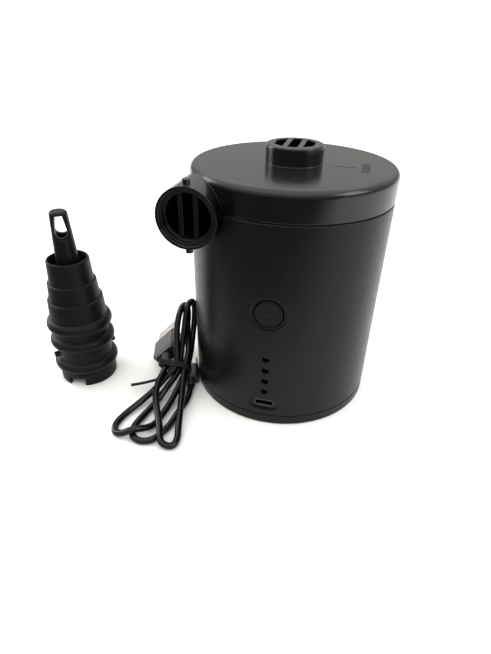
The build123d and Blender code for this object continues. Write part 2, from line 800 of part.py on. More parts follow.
def facing_plane(angle):
    """An upright plane through the stack's axis that faces a compass angle."""
    turn = radians(angle)
    return Plane(origin=(NOZZLE_X, NOZZLE_Y, 0), x_dir=(-sin(turn), cos(turn), 0),
                 z_dir=(cos(turn), sin(turn), 0))


def rib_arc(z, neck_z_low, neck_z_high, rib_r, neck_r):
    """One rounded rib on the half outline, from neck to neck."""
    ThreePointArc((neck_r, neck_z_low), (rib_r, z), (neck_r, neck_z_high))


def revolve_at_nozzle():
    revolve(axis=Axis((NOZZLE_X, NOZZLE_Y, 0), (0, 0, 1)))


def nozzle_outline_plane():
    return Plane(origin=(NOZZLE_X, NOZZLE_Y, 0), x_dir=(1, 0, 0), z_dir=(0, -1, 0))


def ribbed_adapter():
    neck_r = NECK_DIA / 2
    rib_r = RIB_DIA / 2
    collar_r = COLLAR_DIA / 2
    with BuildPart() as part:
        with BuildSketch(nozzle_outline_plane()):
            with BuildLine():
                Polyline((JOIN_R + NEST_FIT, SOCKET_DEPTH + 2), (SOCKET_R, SOCKET_DEPTH),
                         (SOCKET_R, 0), (collar_r, 0), (collar_r, 6.0), (neck_r, 6.4))
                rib_arc(RIB_HEIGHTS[0], 6.4, 12.4, rib_r, neck_r)
                Line((neck_r, 12.4), (neck_r, 18.8))
                rib_arc(RIB_HEIGHTS[1], 18.8, 24.8, rib_r, neck_r)
                Polyline((neck_r, 24.8), (neck_r, ADAPTER_TOP), (JOIN_R + NEST_FIT, ADAPTER_TOP),
                         (JOIN_R + NEST_FIT, SOCKET_DEPTH + 2))
            make_face()
        revolve_at_nozzle()
        for angle in LUG_ANGLES:
            side = Plane(origin=(NOZZLE_X, NOZZLE_Y, LUG_Z), x_dir=(0, 0, 1),
                         z_dir=(cos(radians(angle)), sin(radians(angle)), 0))
            with BuildSketch(side.offset(neck_r - 0.8)):
                Circle(PEG_R)
            extrude(amount=0.8 + PEG_PROUD)
        for angle in NOTCH_ANGLES:
            cut_bayonet_notch(angle)
    return part


def cut_bayonet_notch(angle):
    """An entry notch in the collar's foot and a short turn slot beside it."""
    out = facing_plane(angle)
    with BuildSketch(out.offset(SOCKET_R - 2)) as profile:
        with Locations((0, NOTCH_H / 2 - 0.5)):
            Rectangle(NOTCH_W, NOTCH_H + 1)
    extrude(profile.sketch, amount=5, mode=Mode.SUBTRACT)


def stepped_nozzle():
    rib_r = RIB_DIA / 2
    skirt_r = NECK_DIA / 2 + 0.2
    low = ADAPTER_TOP + 0.1
    bore_low = JOIN_R - 2.0
    bore_high = TIP_SEAT_R + NEST_FIT
    with BuildPart() as part:
        with BuildSketch(nozzle_outline_plane()):
            with BuildLine():
                Polyline((bore_low, ADAPTER_TOP - JOIN_DEPTH), (JOIN_R, ADAPTER_TOP - JOIN_DEPTH),
                         (JOIN_R, low), (skirt_r, low), (skirt_r, 28.0))
                rib_arc(STEP_RIB_HEIGHT, 28.0, 34.0, rib_r, skirt_r)
                Polyline((skirt_r, 34.0), (12.4, STEP_2_Z), (11.5, STEP_2_Z + 0.3), (10.8, STEP_1_Z),
                         (9.9, STEP_1_Z + 0.3), (MOUTH_R + 0.05, MOUTH_Z - 0.6), (MOUTH_R - 0.3, MOUTH_Z),
                         (MOUTH_R - 0.8, MOUTH_Z), (MOUTH_R - 1.1, MOUTH_Z - 1.0),
                         (MOUTH_R - 1.15, TIP_SEAT_Z + 8), (bore_high, TIP_SEAT_Z + 7),
                         (bore_high, TIP_SEAT_Z), (bore_high - 1.2, TIP_SEAT_Z),
                         (bore_high - 1.2, TIP_SEAT_Z - 2), (bore_low, ADAPTER_TOP + 8),
                         (bore_low, ADAPTER_TOP - JOIN_DEPTH))
            make_face()
        revolve_at_nozzle()
    return part


def window_outline(grow=0.0):
    """The window seen from the front: narrow at the top, round at the bottom."""
    low, top = WINDOW_HALF_LOW + grow, WINDOW_HALF_TOP
    bridge_z = TIP_TOP - WINDOW_BRIDGE
    with BuildLine(Plane.XY) as outline:
        Polyline((-low, WINDOW_WIDE_Z), (-top, bridge_z), (top, bridge_z), (low, WINDOW_WIDE_Z))
        ThreePointArc((low, WINDOW_WIDE_Z), (0, WINDOW_LOW - grow), (-low, WINDOW_WIDE_Z))
    return outline.edges()


def pinch_nozzle():
    """A tapered tip with a through window under its closed bridge."""
    facing = facing_plane(TIP_FACING)
    root_z = TIP_SEAT_Z + 6.5
    with BuildPart() as part:
        with BuildSketch(nozzle_outline_plane()):
            with BuildLine():
                Polyline((TIP_ROOT_R - 1.5, TIP_SEAT_Z + 0.1), (TIP_SEAT_R, TIP_SEAT_Z + 0.1),
                         (TIP_SEAT_R, root_z), (TIP_ROOT_R, root_z + 0.6),
                         (TIP_TOP_R, TIP_TOP - 0.7), (TIP_TOP_R - 0.7, TIP_TOP), (0, TIP_TOP),
                         (0, TIP_TOP - WINDOW_BRIDGE), (TIP_TOP_R - 1.9, TIP_TOP - WINDOW_BRIDGE),
                         (TIP_ROOT_R - 1.5, root_z + 2), (TIP_ROOT_R - 1.5, TIP_SEAT_Z + 0.1))
            make_face()
        revolve_at_nozzle()
        with BuildSketch(facing.offset(-12)):
            make_face(window_outline())
        extrude(amount=24, mode=Mode.SUBTRACT)
        with BuildSketch(facing.offset(TIP_TOP_R + 0.15)):
            make_face(window_outline(grow=1.0))
        extrude(amount=4, mode=Mode.SUBTRACT)
    return part


# ================================================================ charging cable
HANK_WAIST = (-43.6, -26.5, 10.4)
WAIST_TILT = 30
WAIST_W = 9.0
WAIST_D = 9.6
# Each section: its centre, the tilt of its normal from level towards +Z, its
# width across X, its depth and its corner radius.
HANK_SECTIONS = (
    ((-46.8, -69.2, 1.9), 0, 25.0, 3.2, 1.2),
    ((-47.7, -61.5, 3.0), 0, 33.0, 5.6, 2.0),
    ((-46.8, -45.0, 4.6), 5, 23.0, 8.2, 2.8),
    (HANK_WAIST, WAIST_TILT, WAIST_W, WAIST_D, 3.8),
    ((-44.6, -18.5, 21.5), 56, 7.4, 10.0, 3.0),
    ((-45.0, -12.2, 31.6), 58, 6.2, 11.0, 2.6),
    ((-45.0, -9.9, 35.4), 58, 3.8, 7.5, 1.5),
)


def cable_hank():
    """The outer shape of the tied loops: a fan on the table, a waist and a blade."""
    with BuildPart() as part:
        for centre, tilt, width, depth, corner in HANK_SECTIONS:
            normal = (0, cos(radians(tilt)), sin(radians(tilt)))
            with BuildSketch(Plane(origin=centre, x_dir=(1, 0, 0), z_dir=normal)):
                RectangleRounded(width, depth, corner)
        loft(ruled=True)
    return part


def bent_rod(points, radii, radius):
    """A round rod of straight runs joined by arcs."""
    with BuildPart() as part:
        with BuildLine() as route:
            FilletPolyline(*points, radius=radii)
        with BuildSketch(Plane(origin=route.line @ 0, z_dir=route.line % 0)):
            Circle(radius)
        sweep(path=route.line)
    length = sum(edge.length for edge in route.edges())
    expected = pi * radius**2 * length
    print(f"rod radii {radii} length {length:.1f} volume ratio {part.part.volume / expected:.4f}")
    return part


def corner_radii(points):
    """Arc radii that fill each corner: 0.45 of the shorter run over tan(half turn)."""
    radii = []
    for a, b, c in zip(points, points[1:], points[2:]):
        before = Vector(*b) - Vector(*a)
        after = Vector(*c) - Vector(*b)
        half_turn = radians(before.get_angle(after)) / 2
        radii.append(0.45 * min(before.length, after.length) / (sin(half_turn) / cos(half_turn)))
    return [round(r, 2) for r in radii]


PLUG_LEAD = ((-51.6, -27.0, 11.6), (-50.6, -31.6, 11.6), (-51.4, -37.8, 9.6), (-50.2, -44.8, 7.0))
SMALL_LEAD = ((-38.4, -30.0, 2.8), (-37.2, -35.5, 2.3), (-37.4, -42.0, 1.9), (-38.6, -48.0, 1.7))


def cable_lead(points):
    """The short free stretch between a plug and the tied loops."""
    return bent_rod(points, corner_radii(points), CABLE_DIA / 2)


TIE_R = 0.8
TIE_TAIL = ((-49.0, -25.3, 7.2), (-53.4, -29.0, 4.7), (-58.8, -33.2, 3.7), (-66.0, -37.7, 4.0))


def cable_tie_ring():
    ring = Plane(origin=HANK_WAIST, x_dir=(1, 0, 0),
                 z_dir=(0, cos(radians(WAIST_TILT)), sin(radians(WAIST_TILT))))
    with BuildPart() as part:
        with BuildSketch(ring):
            RectangleRounded(WAIST_W + 2 * TIE_R, WAIST_D + 2 * TIE_R, 4.5)
            RectangleRounded(WAIST_W, WAIST_D, 3.8, mode=Mode.SUBTRACT)
        extrude(amount=TIE_R, both=True)
    return part


# ---------------------------------------------------------- USB-A plug (the far end)
PLUG_NOSE = (-64.3, 8.4, 6.7)
PLUG_ROLL = -42
PLUG_RELIEF = 8.0
PLUG_GRIP = 18.0
PLUG_SHELL_LEN = 12.0
PLUG_GRIP_W = 14.8
PLUG_GRIP_T = 7.4


def across(tail, nose, along, roll=0):
    """A plane across a plug at a distance from its tail."""
    way = (Vector(*nose) - Vector(*tail)).normalized()
    flat = Vector(0, 0, 1).cross(way).normalized()
    side = flat * cos(radians(roll)) + way.cross(flat) * sin(radians(roll))
    return Plane(origin=Vector(*tail) + way * along, x_dir=side, z_dir=way)


def plug_plane(along):
    return across(PLUG_LEAD[0], PLUG_NOSE, along, PLUG_ROLL)


def usb_a_relief():
    with BuildPart() as part:
        with BuildSketch(plug_plane(0)):
            Circle(CABLE_DIA / 2 + 0.6)
        with BuildSketch(plug_plane(PLUG_RELIEF)):
            Circle(CABLE_DIA / 2 + 1.3)
        loft()
    return part


def usb_a_grip():
    shoulder = PLUG_RELIEF + 3.5
    with BuildPart() as part:
        with BuildSketch(plug_plane(PLUG_RELIEF)):
            RectangleRounded(PLUG_GRIP_W - 3.4, PLUG_GRIP_T - 1.4, 1.8)
        with BuildSketch(plug_plane(shoulder)):
            RectangleRounded(PLUG_GRIP_W, PLUG_GRIP_T, 1.8)
        loft()
        with BuildSketch(plug_plane(shoulder)):
            RectangleRounded(PLUG_GRIP_W, PLUG_GRIP_T, 1.8)
        extrude(amount=PLUG_GRIP - 3.5)
    return part


def usb_a_shell():
    with BuildPart() as part:
        with BuildSketch(plug_plane(PLUG_RELIEF + PLUG_GRIP)):
            RectangleRounded(12.0, 4.5, 0.5)
            RectangleRounded(11.4, 3.9, 0.3, mode=Mode.SUBTRACT)
        extrude(amount=PLUG_SHELL_LEN)
        with BuildSketch(plug_plane(PLUG_RELIEF + PLUG_GRIP + 6)):
            with Locations((-2.9, 0), (2.9, 0)):
                Rectangle(2.0, 8)
        extrude(amount=2.2, mode=Mode.SUBTRACT)
    return part


def usb_a_tongue():
    with BuildPart() as part:
        with BuildSketch(plug_plane(PLUG_RELIEF + PLUG_GRIP)):
            with Locations((0, -0.9)):
                Rectangle(11.2, 1.9)
        extrude(amount=PLUG_SHELL_LEN - 0.8)
    return part


# ----------------------------------------------------- small plug (the near end)
SMALL_NOSE = (-46.5, -9.1, 2.8)
SMALL_RELIEF = 5.0
SMALL_GRIP = 11.0


def small_plane(along):
    return across(SMALL_LEAD[0], SMALL_NOSE, along)


def small_plug_relief():
    with BuildPart() as part:
        with BuildSketch(small_plane(0)):
            Circle(CABLE_DIA / 2 + 0.4)
        with BuildSketch(small_plane(SMALL_RELIEF)):
            Circle(CABLE_DIA / 2 + 0.9)
        loft()
    return part


def small_plug_grip():
    with BuildPart() as part:
        with BuildSketch(small_plane(SMALL_RELIEF)):
            RectangleRounded(9.0, 5.0, 2.2)
        extrude(amount=SMALL_GRIP)
        chamfer(part.edges().filter_by(GeomType.LINE, reverse=True), length=0.4)
    return part


def small_plug_shell():
    with BuildPart() as part:
        with BuildSketch(small_plane(SMALL_RELIEF + SMALL_GRIP)):
            RectangleRounded(8.25, 2.4, 1.1)
            RectangleRounded(7.6, 1.8, 0.8, mode=Mode.SUBTRACT)
        extrude(amount=6.2)
    return part


# ================================================================== build and save
low_posts = [polar(POST_RING_R, a)[:2] for a in POST_ANGLES]
deck_posts = [polar(DECK_POST_RING_R, a)[:2] for a in DECK_POST_ANGLES]
cell_right, cell_left = [polar(CELL_RING_R, a) for a in CELL_ANGLES]

keep(base_cap(), "base_cap")
keep(base_feet(), "base_feet")
keep(screws(low_posts, 0.3, 14.0, SCREW_HEAD_R, SCREW_R, SCREW_HEAD_T), "base_screws")
keep(body_shell(), "body_shell")
keep(top_cap(), "top_cap")
keep(top_mark(), "top_mark")
keep(scroll_deck(), "scroll_deck")
keep(scroll_wall(), "scroll_wall")
keep(screws(deck_posts, SCROLL_DECK + SCREW_HEAD_T, MOTOR_TOP - 8, SCREW_HEAD_R, SCREW_R, SCREW_HEAD_T),
     "deck_screws")
keep(screws([(0, 8), (0, -8)], SCROLL_DECK + 1.2, MOTOR_TOP - CAN_T, 2.0, 1.1, 1.2), "motor_screws")
keep(motor_can(), "motor_can")
keep(motor_magnets(), "motor_magnets")
keep(motor_end_bell(), "motor_end_bell")
keep(motor_terminals(), "motor_terminals")
keep(motor_shaft(), "motor_shaft")
keep(armature(), "armature")
keep(commutator(), "commutator")
keep(impeller(), "impeller")
keep(battery_cell(CELL_ANGLES[0]), "battery_cell_right")
keep(battery_cell(CELL_ANGLES[1]), "battery_cell_left")
keep(battery_cradle(), "battery_cradle")
keep(battery_tabs(), "battery_tabs")
keep(main_board(), "main_board")
keep(board_rails(), "board_rails")
keep(board_parts(), "board_parts")
keep(switch_body(), "switch_body")
keep(switch_plunger(), "switch_plunger")
keep(power_button(), "power_button")
keep(usb_port_shell(), "usb_port_shell")
keep(usb_port_tongue(), "usb_port_tongue")
keep(charge_leds(), "charge_leds")
keep(light_pipes(), "light_pipes")
keep(ribbed_adapter(), "ribbed_adapter")
keep(stepped_nozzle(), "stepped_nozzle")
keep(pinch_nozzle(), "pinch_nozzle")
keep(cable_hank(), "cable_hank")
keep(cable_lead(PLUG_LEAD), "cable_plug_lead")
keep(cable_lead(SMALL_LEAD), "cable_small_lead")
keep(cable_tie_ring(), "cable_tie_ring")
keep(bent_rod(TIE_TAIL, corner_radii(TIE_TAIL), TIE_R), "cable_tie_tail")
keep(usb_a_relief(), "usb_a_relief")
keep(usb_a_grip(), "usb_a_grip")
keep(usb_a_shell(), "usb_a_shell")
keep(usb_a_tongue(), "usb_a_tongue")
keep(small_plug_relief(), "small_plug_relief")
keep(small_plug_grip(), "small_plug_grip")
keep(small_plug_shell(), "small_plug_shell")
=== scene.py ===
import json
import math
import random

import bpy
from mathutils import Matrix, Vector


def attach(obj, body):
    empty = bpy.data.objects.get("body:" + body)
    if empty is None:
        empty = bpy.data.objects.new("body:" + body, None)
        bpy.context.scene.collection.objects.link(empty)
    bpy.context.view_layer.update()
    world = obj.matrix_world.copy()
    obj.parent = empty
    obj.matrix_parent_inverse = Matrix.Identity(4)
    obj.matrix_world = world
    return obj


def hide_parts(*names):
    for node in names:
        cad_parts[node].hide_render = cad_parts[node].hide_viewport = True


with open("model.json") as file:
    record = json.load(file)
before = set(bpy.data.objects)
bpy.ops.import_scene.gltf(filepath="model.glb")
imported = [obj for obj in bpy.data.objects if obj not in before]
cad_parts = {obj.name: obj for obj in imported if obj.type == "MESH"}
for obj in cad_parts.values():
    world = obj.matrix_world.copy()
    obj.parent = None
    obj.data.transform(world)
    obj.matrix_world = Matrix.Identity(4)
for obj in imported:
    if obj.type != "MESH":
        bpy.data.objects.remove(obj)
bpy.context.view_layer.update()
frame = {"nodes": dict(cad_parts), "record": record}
MM = 0.001
random.seed(7)


# ================================================================ small helpers
def mm(*values):
    """A point given in millimetres, in metres."""
    return Vector(v * MM for v in values)


def link(obj):
    """Puts an object in the scene."""
    bpy.context.scene.collection.objects.link(obj)
    return obj


def mesh_object(name, verts, faces):
    """A smooth-shaded mesh from its corner points, in metres."""
    mesh = bpy.data.meshes.new(name)
    mesh.from_pydata([tuple(v) for v in verts], [], faces)
    mesh.validate()
    mesh.update()
    for poly in mesh.polygons:
        poly.use_smooth = True
    return link(bpy.data.objects.new(name, mesh))


def round_line(name, places, radii, bevel, sides, steps):
    """A round wire along a smooth NURBS line with these control points, in metres.

    Its radius is the bevel times the points' own radii.
    """
    data = bpy.data.curves.new(name, "CURVE")
    data.dimensions = "3D"
    data.bevel_depth = bevel
    data.bevel_resolution = sides
    data.resolution_u = steps
    data.use_fill_caps = True
    spline = data.splines.new("NURBS")
    spline.points.add(len(places) - 1)
    for point, place, radius in zip(spline.points, places, radii):
        point.co = (*place, 1.0)
        point.radius = radius
    spline.order_u = 3
    spline.use_endpoint_u = True
    return link(bpy.data.objects.new(name, data))


# ======================================================================= camera
# The photograph's viewing angle, in millimetres, with the roll in radians.
CAMERA_PLACE = (26.25, -191.66, 149.27)
CAMERA_FORWARD = (-0.1916, 0.8177, -0.5429)
CAMERA_ROLL = 0.02099
CAMERA_LENS = 25.34
CAMERA_SENSOR = 36.0
CAMERA_CLIP = (0.01, 50)


def make_camera():
    forward = Vector(CAMERA_FORWARD).normalized()
    level = forward.cross(Vector((0, 0, 1))).normalized()
    upright = level.cross(forward)
    right = level * math.cos(CAMERA_ROLL) + upright * math.sin(CAMERA_ROLL)
    up = upright * math.cos(CAMERA_ROLL) - level * math.sin(CAMERA_ROLL)
    data = bpy.data.cameras.new("camera")
    data.lens = CAMERA_LENS
    data.sensor_width = CAMERA_SENSOR
    data.clip_start, data.clip_end = CAMERA_CLIP
    camera = link(bpy.data.objects.new("camera", data))
    axes = Matrix((right, up, -forward)).transposed().to_4x4()
    camera.matrix_world = Matrix.Translation(mm(*CAMERA_PLACE)) @ axes
    bpy.context.scene.camera = camera


make_camera()

# =============================================================== charging cable
# Control points chosen for the cable, in millimetres: from the small plug, through three
# loops towards the front and two folds that stand beside the drum, to the USB plug.
CABLE_DIA = 3.0
SMALL_LEAD = ((-38.4, -30.0, 2.8), (-37.2, -35.5, 2.3), (-37.4, -42.0, 1.9), (-38.6, -48.0, 1.7))
LOOP_B = (
    (-38.9, -55, 1.6), (-40.6, -61.5, 1.6), (-43.6, -66.6, 1.6), (-48.0, -68.0, 1.6),
    (-52.6, -66.0, 1.6), (-54.0, -60.5, 1.7), (-53.0, -54.5, 1.8), (-51.3, -47, 1.8),
    (-49.9, -41.5, 2.6), (-48.9, -38, 4.2), (-47.0, -31.5, 6.1))
FOLD_1_UP = (
    (-45.3, -25.6, 8.9), (-45.9, -20.5, 16.6), (-45.8, -16.0, 24.0), (-45.9, -12.8, 30.0),
    (-45.6, -10.9, 34.2), (-45.3, -9.3, 36.6), (-44.9, -5.4, 36.5))
FOLD_1_DOWN = (
    (-44.6, -3.2, 34.0), (-44.3, -3.2, 29.5), (-44.0, -6.2, 23.5), (-43.4, -11.5, 17.5),
    (-42.3, -18.0, 12.8), (-41.9, -25.6, 8.9))
LOOP_A = (
    (-42.6, -32.5, 6.0), (-43.4, -41, 3.2), (-44.6, -50, 1.8), (-45.3, -56.2, 1.7),
    (-47.4, -60.8, 2.5), (-51.8, -65.3, 5.2), (-56.4, -67.1, 2.9), (-60.5, -66, 1.6),
    (-62.6, -61, 1.6), (-61, -54, 1.7), (-57.6, -46.5, 2.4), (-53.2, -37.6, 4.4),
    (-49.8, -31.6, 8.2))
FOLD_2 = (
    (-45.6, -27.3, 12.0), (-47.4, -22.5, 18.3), (-48.7, -18.0, 25.5), (-49.0, -14.6, 30.4),
    (-48.7, -11.6, 33.8), (-48.2, -8.0, 35.2), (-47.6, -4.8, 33.0), (-47.2, -4.9, 28.5),
    (-46.4, -9.5, 23.6), (-44.1, -15.2, 19.2), (-42.1, -20.4, 15.8), (-41.9, -27.3, 11.9))
LOOP_C = (
    (-40.4, -34, 9.2), (-38.4, -42, 6.6), (-36.2, -50, 4.8), (-34.2, -58.0, 2.6),
    (-32.8, -62.5, 1.9), (-32.9, -66.6, 1.7), (-35.6, -67.9, 1.9), (-38.8, -67.4, 3.2),
    (-40.6, -63.0, 4.6), (-42.9, -58.2, 5.0), (-46.6, -51.6, 5.8))
PLUG_LEAD = ((-50.2, -44.8, 7.0), (-51.4, -37.8, 9.6), (-50.6, -31.6, 11.6), (-51.6, -27.0, 11.6))
ROUTE = SMALL_LEAD + LOOP_B + FOLD_1_UP + FOLD_1_DOWN + LOOP_A + FOLD_2 + LOOP_C + PLUG_LEAD


def make_cable():
    """The cable, as one open line.
    """
    places = [mm(*place) for place in ROUTE]
    cable = round_line("charging_cable", places, [MM] * len(places), bevel=CABLE_DIA / 2, sides=6, steps=10)
    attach(cable, "housing")
    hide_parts("cable_hank", "cable_plug_lead", "cable_small_lead")
    return cable


cable = make_cable()


# ==================================================================== materials
# The sockets of a Mix node that blends colours.
MIX_FACTOR = 0
MIX_COLOURS = (6, 7)
MIX_RESULT = 2
SPECKLE_PER_CLOUD = 14
BUMP_STRENGTH = 0.6
# Cosines of the turn from the true normal to the rounded one, at a sharp edge and on the flat.
EDGE_TURN = 0.80
FLAT_TURN = 0.995


def add_noise(tree, coords, scale, detail=4.0, stretch=(1, 1, 1)):
    """A 0 to 1 noise pattern that stays with the object."""
    mapping = tree.nodes.new("ShaderNodeMapping")
    mapping.inputs["Scale"].default_value = stretch
    noise = tree.nodes.new("ShaderNodeTexNoise")
    noise.inputs["Scale"].default_value = scale
    noise.inputs["Detail"].default_value = detail
    tree.links.new(coords.outputs["Object"], mapping.inputs["Vector"])
    tree.links.new(mapping.outputs["Vector"], noise.inputs["Vector"])
    return noise.outputs["Fac"]


def spread(tree, value, low, high, start=0.3, end=0.7):
    """Turns a 0 to 1 pattern into a range of values."""
    node = tree.nodes.new("ShaderNodeMapRange")
    node.inputs["From Min"].default_value = start
    node.inputs["From Max"].default_value = end
    node.inputs["To Min"].default_value = low
    node.inputs["To Max"].default_value = high
    tree.links.new(value, node.inputs["Value"])
    return node.outputs["Result"]


def blend_colours(tree, factor, first, second):
    """From the first colour at factor 0 to the second at 1. Each is an RGB tuple or a socket."""
    node = tree.nodes.new("ShaderNodeMix")
    node.data_type = "RGBA"
    for index, colour in zip(MIX_COLOURS, (first, second)):
        if isinstance(colour, tuple):
            node.inputs[index].default_value = (*colour, 1)
        else:
            tree.links.new(colour, node.inputs[index])
    tree.links.new(factor, node.inputs[MIX_FACTOR])
    return node.outputs[MIX_RESULT]


def worn_edge(tree, width):
    """The rounded normal, and a pattern from how far it turns: 1 on an edge, 0 on the flat."""
    bevel = tree.nodes.new("ShaderNodeBevel")
    bevel.samples = 6
    bevel.inputs["Radius"].default_value = width
    geometry = tree.nodes.new("ShaderNodeNewGeometry")
    dot = tree.nodes.new("ShaderNodeVectorMath")
    dot.operation = "DOT_PRODUCT"
    tree.links.new(bevel.outputs["Normal"], dot.inputs[0])
    tree.links.new(geometry.outputs["Normal"], dot.inputs[1])
    rim = spread(tree, dot.outputs["Value"], low=1.0, high=0.0, start=EDGE_TURN, end=FLAT_TURN)
    return bevel.outputs["Normal"], rim


def finish_material(name, dark, pale, rough, grain, depth, edge, cloud=30, stretch=(1, 1, 1),
                    metal=0.0, level=0.5, edge_width=0.35, side=None):
    """A moulded or metal surface: clouded tone and gloss, fine grain, paler worn edges, and optional
    painted shade on upright faces.

    Depth and edge_width are in millimetres. The side colour, if given, is painted shade: upright faces are
    darkened to it, while faces turned up keep the lighter tone, as if lit from above.
    """
    mat = bpy.data.materials.new(name)
    mat.use_nodes = True
    tree = mat.node_tree
    shader = tree.nodes["Principled BSDF"]
    coords = tree.nodes.new("ShaderNodeTexCoord")
    clouds = add_noise(tree, coords, cloud, detail=5.0)
    speckle = add_noise(tree, coords, cloud * SPECKLE_PER_CLOUD, detail=3.0)
    tone = blend_colours(tree, spread(tree, clouds, low=0.0, high=1.0), dark, pale)
    smooth_normal, rim = worn_edge(tree, edge_width * MM)
    worn = tree.nodes.new("ShaderNodeMath")
    worn.operation = "MULTIPLY"
    tree.links.new(rim, worn.inputs[0])
    tree.links.new(spread(tree, speckle, low=0.25, high=1.0), worn.inputs[1])
    tone = blend_colours(tree, worn.outputs[0], tone, edge)
    gloss = spread(tree, speckle, *rough)
    # Painted shade: upright faces are darkened to the side colour and faces turned up keep the lighter
    # tone, as if light fell from above.
    if side:
        geometry = tree.nodes.new("ShaderNodeNewGeometry")
        split = tree.nodes.new("ShaderNodeSeparateXYZ")
        tree.links.new(geometry.outputs["Normal"], split.inputs[0])
        painted_light_facing_mask = spread(tree, split.outputs["Z"], low=0.0, high=1.0, start=0.35, end=0.9)
        tone = blend_colours(tree, painted_light_facing_mask, side, tone)
    tree.links.new(tone, shader.inputs["Base Color"])
    tree.links.new(gloss, shader.inputs["Roughness"])
    bump = tree.nodes.new("ShaderNodeBump")
    bump.inputs["Strength"].default_value = BUMP_STRENGTH
    bump.inputs["Distance"].default_value = depth * MM
    tree.links.new(add_noise(tree, coords, grain, detail=3.0, stretch=stretch), bump.inputs["Height"])
    tree.links.new(smooth_normal, bump.inputs["Normal"])
    tree.links.new(bump.outputs["Normal"], shader.inputs["Normal"])
    shader.inputs["Metallic"].default_value = metal
    shader.inputs["Specular IOR Level"].default_value = level
    return mat


def grey(value):
    """A neutral colour."""
    return (value, value, value)


